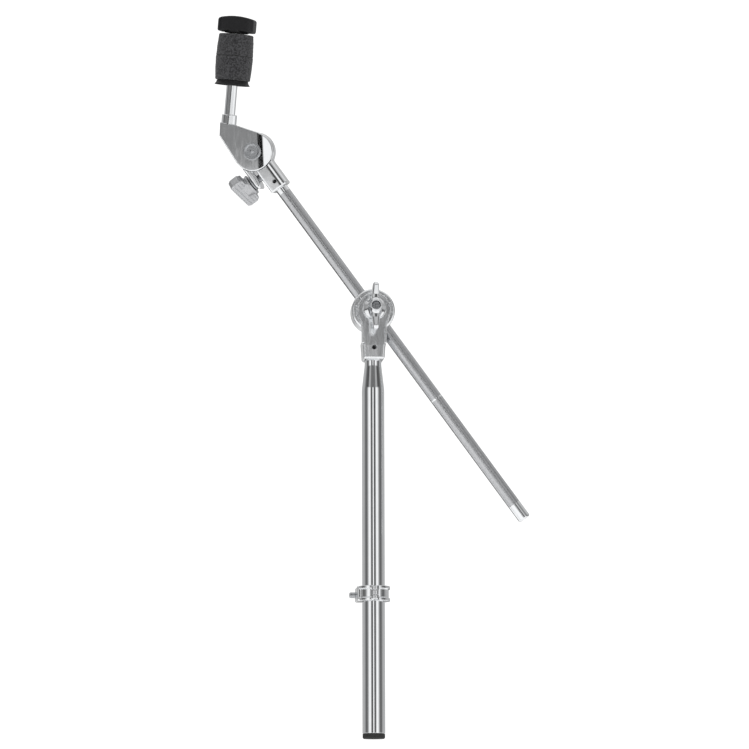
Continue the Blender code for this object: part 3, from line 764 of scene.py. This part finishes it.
def make_arm():
    where = moved(BOOM, y=ARM_Y)
    ends = path([(0, ARM_TOP, 0), (ARM_R, ARM_TOP, 1.0), (ARM_R, ARM_LOW, 1.6), (0, ARM_LOW, 0)])
    arm = lathe("boom_arm_knurled", ends, where, SATIN, turns=96, ripple=knurled, step=0.42)
    arm.data.materials.append(CHROME)
    centre = np.empty(len(arm.data.polygons) * 3)
    arm.data.polygons.foreach_get("center", centre)
    along = (centre.reshape(-1, 3) / MM - where[0]) @ where[1][2]
    arm.data.polygons.foreach_set("material_index", unknurled(along).astype(np.int32))
    fit_piece(arm, "boom", "knurled_chrome", "boom_arm")


# ---------------------------------------------------------------- tilter

PLATE_R = 19.6
PLATE_Y = (-11.5, -1.0)
RING_Y = (-0.7, 10.0)
DRUM_R = 11.9
CLUTCH = 1.5 + GAP
TILTER_S = float((HEAD[0] - BOOM[0]) @ BOOM[1][2])
BASE_LOW = -45.4
BASE_HALF = 9.4
WING_Z = -24.2
BASE_SCREW_Z = -37.0
SOCKET_TOP = ARM_TOP - TILTER_S + GAP
JAW = [(-17.8, -3.0), (-17.8, -29.0), (-16.4, -32.4), (-15.6, -32.6), (-14.6, -30.5), (-13.3, -22.0),
       (-13.1, -3.0)]


def tilter_base_shape(x, y, z):
    """Split ring on a socket block whose front falls away to the right, with the jaw's lug on the left."""
    r = radial(x, z)
    ring = bar(r, y, PLATE_R, RING_Y[0], RING_Y[1], 1.3)
    falling = np.maximum(x - 1.5, 0) ** 2 / 26
    section = both(np.abs(x) - BASE_HALF, np.maximum(-10.0 + falling - y, y - 9.6), 2.2)
    lump = both(section, span(z, BASE_LOW, -12.0), 1.8)
    jaw = both(outline(x, z, JAW, 1.2), span(y, -9.0, 9.3), 2.2)
    body = either(either(ring, lump, 1.5), jaw, 1.2)
    body = without(body, r - DRUM_R - CLUTCH, 0.3)
    body = without(body, bar(r, y, PLATE_R + 0.5, -30.0, PLATE_Y[1] + GAP, 0.01), 0.3)
    body = without(body, both(span(x, -11.9, -9.8), z + 5.0), 0.3)
    body = without(body, both(radial(x, y) - ARM_R - GAP, z - SOCKET_TOP), 0.4)
    body = without(body, both(radial(y, z - WING_Z) - HOLE_R, x - 4.0), 0.3)
    return without(body, both(radial(x, z - BASE_SCREW_Z) - 2.2, y))


RIB_DEPTH = 0.32
RIB_PITCH = 3.6
WING_TURN = math.radians(50)      # the bar's lean out of the plane of the plate
WASHER_X = -19.0 - GAP
BOLT_WASHER = 1.6         # thickness of the washers under the wing bolt and the pivot nut
BAR = [(-1.0, 5.4), (14.2, 5.4), (15.9, 7.8), (15.9, 14.4), (14.6, 16.2), (-1.0, 16.2)]
BOLT_HUB = [(-4.0, 9.0), (7.0, 9.0), (7.4, 6.0), (8.6, 3.6), (10.1, 1.6), (10.1, 0.7), (-4.0, 0.7)]


def wing_bolt_shape(x, y, z):
    """Straight bar with ribs along each broad side, on a flared hub and a threaded shank below z = 0."""
    hub = outline(radial(x, y), z, BOLT_HUB, 0.6)
    ribs = RIB_DEPTH * np.cos(2 * math.pi * (z - 10.8) / RIB_PITCH) * np.clip((16.8 - np.abs(x)) / 1.5, 0, 1)
    head = either(both(outline(np.abs(x), z, BAR, 1.8), np.abs(y) - 5.4 - ribs, 1.4), hub, 1.6)
    shank = both(threaded(radial(x, y), z, np.arctan2(y, x)), span(z, -23.2, 2.0), 0.4)
    return either(head, shank)


def tilter_corners():
    """The flat end of the tear-drop and the two points where its sides touch the round end."""
    sine, cosine = math.sin(ROD_LEAN), math.cos(ROD_LEAN)
    ends = [(s * sine - (ROD_OFFSET + q) * cosine, s * cosine + (ROD_OFFSET + q) * sine)
            for s, q in ((24.6, -7.6), (26.2, 7.4), (12.4, 6.8))]
    crest, heel = ends[0], ends[2]
    touch = []
    for (x, z), way in ((heel, 1), (crest, -1)):
        angle = math.atan2(z, x) + way * math.acos(min(1.0, PLATE_R / math.hypot(x, z)))
        touch.append((PLATE_R * math.cos(angle), PLATE_R * math.sin(angle)))
    return ends + [touch[0], (0.0, 0.0), touch[1]]


TEARDROP = tilter_corners()
LEVEL = np.cross(HEAD[1][1], UP) @ HEAD[1].T      # the level line across the face, to its right
LEVEL = LEVEL / np.linalg.norm(LEVEL)
BOSS_R = 7.6
BOSS_SPAN = (23.5, 34.4)  # along the rod, from the tilter pivot
FALL_FROM = 4.0           # to the right of the pivot from here, the face bends back
FALL_R = 31.0
FALL_SLOPE = 0.27


def tilter_arm_shape(x, y, z):
    """Tear-drop plate whose face bends back to the right, with the drum behind it and the rod's boss."""
    face = np.minimum(radial(x, z) - PLATE_R, outline(x, z, TEARDROP))
    right = np.maximum(x * LEVEL[0] + z * LEVEL[2] - FALL_FROM, 0)
    bend = FALL_SLOPE * FALL_R
    fall = np.where(right < bend, right ** 2 / (2 * FALL_R), FALL_SLOPE * (right - bend / 2))
    plate = both(face, np.maximum(PLATE_Y[0] + fall - y, y - PLATE_Y[1]), 1.0)
    drum = bar(radial(x, z), y, DRUM_R, -4.0, RING_Y[1] - 0.2, 0.4)
    along = x * math.sin(ROD_LEAN) + z * math.cos(ROD_LEAN)
    off = radial(x * math.cos(ROD_LEAN) - z * math.sin(ROD_LEAN) + ROD_OFFSET, y - ROD_Y)
    boss = bar(off, along, BOSS_R, *BOSS_SPAN, 0.8)
    body = either(either(plate, drum), boss)
    body = without(body, radial(x, z) - HOLE_R, 0.3)
    return without(body, both(off - ROD_R - GAP, ROD_FOOT - GAP - along), 0.4)


def make_tilter():
    base = casting("tilter_base_casting", tilter_base_shape, (-21, -12, -47.5), (21, 12, 21), HEAD, CASTING,
                   0.34)
    fit_piece(base, "tilter_base", "chrome", "tilter_base")
    NODES["base_screw"].data.materials[0] = OXIDE
    NODES["clutch_ring"].data.materials[0] = BRONZE
    washer = lathe("wing_bolt_washer_turned", path([(HOLE_R, 0, 0.2), (7.6, 0, 0.4), (7.6, -BOLT_WASHER, 0.4),
                                                    (HOLE_R, -BOLT_WASHER, 0.2)], closed=True),
                   spun(moved(HEAD, x=WASHER_X, z=WING_Z), "X"), STEEL, turns=64, closed=True)
    fit_piece(washer, "tilter_base", "steel", "wing_bolt_washer")
    foot = moved(HEAD, x=WASHER_X - BOLT_WASHER - GAP, z=WING_Z)
    bar_way = HEAD[1][2] * math.cos(WING_TURN) - HEAD[1][1] * math.sin(WING_TURN)
    wing = place(foot[0], np.cross(-HEAD[1][0], bar_way), -HEAD[1][0])
    bolt = casting("tilter_wing_bolt_casting", wing_bolt_shape, (-25, -12, -24.6), (25, 12, 19.6), wing,
                   CAST_SATIN,
                   0.36)
    fit_piece(bolt, "wing_bolt", "chrome", "tilter_wing_bolt")
    arm = casting("tilter_arm_casting", tilter_arm_shape, (-40, -13, -21), (21, 11, 47), HEAD, CHROME, 0.4)
    fit_piece(arm, "tilter_arm", "chrome", "tilter_arm")

    axle = spun(HEAD, "Y")
    face = PLATE_Y[0] - GAP
    bolt_head = path([(0, 19.5, 0), (THREAD_R, 19.5, 0.6), (THREAD_R, face, 0.1), (9.0, face, 0.3),
                      (8.8, face - 1.4, 0.7), (6.9, face - 1.4, 0.4), (5.9, face - 0.5, 0.5),
                      (2.2, face - 0.5, 0.4),
                      (1.2, face - 1.3, 0.6), (0, face - 1.4, 0)])
    fit_piece(lathe("pivot_bolt_turned", bolt_head, axle, STEEL, turns=96, step=0.3,
                    ripple=helix(THREAD_PITCH, 0.4, THREAD_R, 11.0, 19.3)), "tilter_arm", "chrome",
                    "pivot_bolt")
    back = RING_Y[1] + GAP
    ring = path([(HOLE_R, back, 0.2), (15.5, back, 0.5), (15.5, back + BOLT_WASHER, 0.5),
                 (HOLE_R, back + BOLT_WASHER, 0.2)], closed=True)
    fit_piece(lathe("pivot_washer_turned", ring, axle, STEEL, turns=96, closed=True), "tilter_arm", "steel",
              "pivot_washer")
    back += BOLT_WASHER + GAP

    def nut_shape(x, y, z):
        sides = np.arange(6) * math.pi / 3 + math.pi / 6
        flats = np.max([x * math.cos(a) + z * math.sin(a) for a in sides], axis=0)
        cone = (radial(x, z) - 7.6 + np.abs(y - back - 2.8) - 2.4) * 0.7
        body = both(both(flats - 6.4, span(y, back, back + 5.6), 0.2), cone, 0.2)
        return without(body, radial(x, z) - HOLE_R, 0.3)

    nut = casting("pivot_nut_hexagon", nut_shape, (-9, back - 1, -9), (9, back + 6.6, 9), HEAD, STEEL, 0.35)
    fit_piece(nut, "tilter_arm", "steel", "pivot_nut")


# ---------------------------------------------------------------- rod and cymbal seat

STUD_R = 4.0
THREAD_TOP = 128.4
SEAT = (63.6, 68.2)
SLEEVE_R = 6.2
LOWER_FELT = (68.5, 92.0)
UPPER_FELT = (92.3, 114.0)
NUT = (115.3, 132.0)
NUT_HALF = 18.2
NUT_DOME_R = 62.0
NUT_HUB_R = 12.0
WAVES = 60


def make_rod():
    low, high = SEAT
    rod = path([(0, THREAD_TOP, 0), (STUD_R, THREAD_TOP, 0.6), (STUD_R, high + 1, 0.1),
                (ROD_R, high + 1, 0.5),
                (ROD_R, ROD_FOOT, 0.5), (0, ROD_FOOT, 0)])
    stud = lathe("tilter_rod_plated", rod, ROD, CHROME, turns=96, step=0.3,
                 ripple=helix(THREAD_PITCH, 0.4, STUD_R, 100.0, THREAD_TOP))
    fit_piece(stud, "tilter_arm", "chrome", "tilter_rod")
    cup = path([(SLEEVE_R + GAP, high, 0.2), (15.6, high, 0.5), (16.1, high - 2.2, 1.0),
                (17.5, low + 0.6, 0.3),
                (17.5, low, 0.25), (16.5, low + 0.1, 0.2), (14.4, low + 1.9, 0.8), (9.6, low + 2.4, 0.5),
                (8.7, low + 0.9, 0.3), (ROD_R + GAP, low + 0.9, 0.2), (ROD_R + GAP, high - 1.4, 0.0),
                (SLEEVE_R + GAP, high - 1.4, 0.0)], closed=True)
    fit_piece(lathe("seat_cup_moulded", cup, ROD, PLASTIC, turns=128, closed=True), "tilter_arm",
              "black_plastic",
              "seat_washer")
    tube = path([(STUD_R + GAP, UPPER_FELT[1] + 1, 0.2), (SLEEVE_R, UPPER_FELT[1] + 1, 0.4),
                 (SLEEVE_R, high + 1.3, 0.2), (STUD_R + GAP, high + 1.3, 0.2)], closed=True)
    fit_piece(lathe("cymbal_sleeve_moulded", tube, ROD, PLASTIC, turns=64, closed=True), "tilter_arm",
              "black_plastic", "cymbal_sleeve")


def make_felt(name, body, node_name, low, high, low_r, high_r, low_edge, top_edge, seed):
    """Pressed felt ring: a crowned side, soft edges and lumps from a few smooth random waves.

    The radius of a point is its profile's plus a sum of sines in angle and height, and a finer product of
    sines roughens that, so the outline is never quite true."""
    draw = np.random.default_rng(seed)
    middle, inner = (low + high) / 2, SLEEVE_R + GAP + 0.2
    profile = path([(inner, high, 0.5), (high_r, high, top_edge), ((low_r + high_r) / 2 + 0.25, middle, 60.0),
                    (low_r, low, low_edge), (inner, low, 0.5)], closed=True, pieces=8)
    waves = [(draw.integers(1, 60), draw.uniform(0.1, 3.6), draw.uniform(0, 6.3), draw.uniform(0, 6.3))
             for _ in range(WAVES)]

    def lumps(angle, z, r):
        total = 0 * angle * z
        for around, up, phase, lift in waves:
            total = total + np.sin(around * angle + phase) * np.sin(up * z + lift) / (1 + 0.12 * around)
        fine = np.sin(83 * angle + 5.1 * z + seed) * np.sin(97 * angle - 6.3 * z) * 0.5
        return np.where(r > inner + 0.5, 0.045 * total + 0.05 * fine - 0.1, 0.0)

    felt = lathe(name, profile, ROD, FELT, turns=360, closed=True, ripple=lumps, step=0.35)
    fit_piece(felt, body, "felt", node_name)


def top_nut_shape(x, y, z):
    """Oblong with chamfered corners and a domed top, over a round hub, bored for its insert."""
    low, high = NUT
    plan = both(both(np.abs(x) - NUT_HALF, np.abs(y) - 11.6, 0.8),
                (np.abs(x) + np.abs(y)) / math.sqrt(2) - 18.6, 1.6)
    dome = np.sqrt(x * x + (z - (high - NUT_DOME_R)) ** 2 + 0.25 * y * y) - NUT_DOME_R
    top = both(plan, both(dome, low + 0.9 - z), 2.2)
    hub = bar(radial(x, y), z, NUT_HUB_R, low, high - 3.0, 0.6)
    body = either(top, hub, 0.4)
    return without(body, bar(radial(x, y), z, 6.5, low - 5.0, high - 2.6, 0.01), 0.3)


def make_seat():
    make_rod()
    make_felt("lower_felt_pressed", "lower_felt", "lower_felt", *LOWER_FELT, 17.4, 18.6, 1.2, 0.5, 3)
    make_felt("upper_felt_pressed", "upper_felt", "upper_felt", *UPPER_FELT, 18.4, 17.1, 0.5, 1.2, 8)
    nut = casting("top_nut_moulded", top_nut_shape, (-21, -13.5, NUT[0] - 1.5), (21, 13.5, NUT[1] + 1.5), ROD,
                  PLASTIC, 0.4)
    fit_piece(nut, "top_nut", "black_plastic", "top_nut")
    NODES["nut_insert"].data.materials[0] = BRONZE


# ---------------------------------------------------------------- studio

LENS = 136.7
CAMERA_AT = (-0.2644, -2.7504, -0.1049)
CAMERA_TURN = math.radians(5.522)       # to the right of straight ahead
CAMERA_RISE = math.radians(9.478)
CAMERA_ROLL = math.radians(-0.147)
FLOOR_Z = -0.32
FLOOR_SIZE = 4.7
FLOOR_BACK = 0.9
FLOOR_GLOW = 0.25
WORLD_STRENGTH = 1.15
LIGHTS_AIM = (-0.05, 0, 0.4)


def make_camera():
    ahead = Vector((math.sin(CAMERA_TURN) * math.cos(CAMERA_RISE),
                    math.cos(CAMERA_TURN) * math.cos(CAMERA_RISE),
                    math.sin(CAMERA_RISE)))
    right = Vector((math.cos(CAMERA_TURN), -math.sin(CAMERA_TURN), 0))
    up = right.cross(ahead)
    rolled = right * math.cos(CAMERA_ROLL) + up * math.sin(CAMERA_ROLL)
    up = up * math.cos(CAMERA_ROLL) - right * math.sin(CAMERA_ROLL)
    data = bpy.data.cameras.new("camera")
    data.lens = LENS
    data.sensor_width = 36.0
    data.clip_start, data.clip_end = 0.1, 50.0
    camera = bpy.data.objects.new("camera", data)
    bpy.context.scene.collection.objects.link(camera)
    camera.matrix_world = Matrix.Translation(CAMERA_AT) @ Matrix((rolled, up, -ahead)).transposed().to_4x4()
    bpy.context.scene.camera = camera


def make_floor():
    """Pale sheet that ends close behind the object, so that less of it shows in the chrome."""
    mesh = bpy.data.meshes.new("floor")
    corners = [(-FLOOR_SIZE, -FLOOR_SIZE), (FLOOR_SIZE, -FLOOR_SIZE), (FLOOR_SIZE, FLOOR_BACK),
               (-FLOOR_SIZE, FLOOR_BACK)]
    mesh.from_pydata([(x, y, FLOOR_Z) for x, y in corners], [], [(0, 1, 2, 3)])
    floor = bpy.data.objects.new("floor", mesh)
    bpy.context.scene.collection.objects.link(floor)
    material, _, shader, _ = new_finish("pale_matt_floor", "#F4F4F4", 0.0, 0.9)
    shader.inputs["Emission Color"].default_value = (1, 1, 1, 1)
    shader.inputs["Emission Strength"].default_value = FLOOR_GLOW
    mesh.materials.append(material)


# The panels, as grey levels by the angle away from the camera, in degrees.
TENT = ((0, "#FFFFFF"), (4, "#FFFFFF"), (7, "#5C5C5C"), (20, "#585858"), (26, "#D0D0D0"), (31, "#FFFFFF"),
        (44, "#FFFFFF"), (52, "#C8C8C8"), (64, "#747474"), (84, "#606060"), (94, "#989898"), (110, "#B2B2B2"),
        (180, "#BCBCBC"))
# Below the horizon, by the signed angle: mostly dark cloth on one side, mostly pale bench on the other.
BENCH = ((-180, "#A0A0A0"), (-165, "#E4E4E4"), (-150, "#5C5C5C"), (-60, "#5C5C5C"), (-42, "#7C7C7C"),
         (-19, "#8C8C8C"), (-15, "#141414"), (0, "#101010"), (4, "#FFFFFF"), (104, "#FFFFFF"),
         (114, "#6A6A6A"),
         (126, "#5A5A5A"), (136, "#E8E8E8"), (144, "#F0F0F0"), (150, "#4C4C4C"), (158, "#6C6C6C"),
         (180, "#A0A0A0"))
# Above the panels' top edges, again by the angle away from the camera.
VALANCE = ((0, "#707070"), (22, "#747474"), (30, "#B4B4B4"), (44, "#A4A4A4"), (52, "#4C4C4C"),
           (80, "#606060"),
           (96, "#989898"), (180, "#BCBCBC"))


def grey_ramp(tree, share, stops, low, high):
    """Colour ramp whose stops are given in degrees from low to high."""
    ramp = node(tree, "ShaderNodeValToRGB", {0: share})
    elements = ramp.color_ramp.elements
    while len(elements) < len(stops):
        elements.new(1.0)
    for element, (degrees, grey) in zip(elements, stops):
        element.position = (degrees - low) / (high - low)
        element.color = hex_colour(grey)
    return ramp.outputs[0]


def make_world():
    """A light tent, as grey levels by direction: panels round about, a valance above them and a pale lid, and
    a bench below the horizon.

    Angles start where the camera stands. Only reflections see the tent; the view behind is plain white."""
    world = bpy.data.worlds.new("light_tent")
    bpy.context.scene.world = world
    world.use_nodes = True
    tree = world.node_tree
    background = tree.nodes["Background"]
    look = node(tree, "ShaderNodeTexCoord").outputs["Generated"]
    front = math.atan2(CAMERA_AT[1], CAMERA_AT[0])
    turned = node(tree, "ShaderNodeMapping", {"Vector": look, "Rotation": (0, 0, -front)})
    parts = node(tree, "ShaderNodeSeparateXYZ", {0: turned.outputs[0]}).outputs
    angle = node(tree, "ShaderNodeMath", {0: parts["Y"], 1: parts["X"]}, operation="ARCTAN2").outputs[0]
    away = node(tree, "ShaderNodeMath", {0: angle}, operation="ABSOLUTE").outputs[0]
    share = node(tree, "ShaderNodeMath", {0: away, 1: math.pi}, operation="DIVIDE").outputs[0]
    front_ramp = grey_ramp(tree, share, TENT, 0, 180)
    signed = between(tree, angle, 0.0, 1.0, -math.pi, math.pi)
    bench = grey_ramp(tree, signed, BENCH, -180, 180)
    above = grey_ramp(tree, share, VALANCE, 0, 180)
    panels = mixed(tree, between(tree, parts["Z"], 0.0, 1.0, 0.29, 0.34), front_ramp, above)
    lid = mixed(tree, between(tree, parts["Z"], 0.0, 1.0, 0.45, 0.75), panels, "#E8E8E8")
    tent = mixed(tree, between(tree, parts["Z"], 0.0, 1.0, 0.02, -0.05), lid, bench)
    seen = node(tree, "ShaderNodeLightPath").outputs["Is Camera Ray"]
    tree.links.new(mixed(tree, seen, tent, "#FFFFFF"), background.inputs["Color"])
    background.inputs["Strength"].default_value = WORLD_STRENGTH


def make_light(name, at, size, power):
    data = bpy.data.lights.new(name, "AREA")
    data.shape = "RECTANGLE"
    data.size, data.size_y = size
    data.energy = power
    light = bpy.data.objects.new(name, data)
    bpy.context.scene.collection.objects.link(light)
    light.location = at
    light.rotation_euler = (Vector(LIGHTS_AIM) - Vector(at)).to_track_quat("-Z", "Y").to_euler()
    light.visible_glossy = False


make_camera()
make_floor()
make_world()
make_light("key_panel", (-1.6, -1.9, 1.7), (1.2, 1.6), 22)
make_light("fill_panel", (1.9, -1.4, 0.8), (1.0, 1.6), 9)
make_light("back_panel", (0.3, 2.2, 1.8), (1.6, 1.0), 14)
bpy.context.scene.view_settings.view_transform = "Standard"

make_post()
make_post_head()
make_memory_lock()
make_holder()
make_arm()
make_tilter()
make_seat()
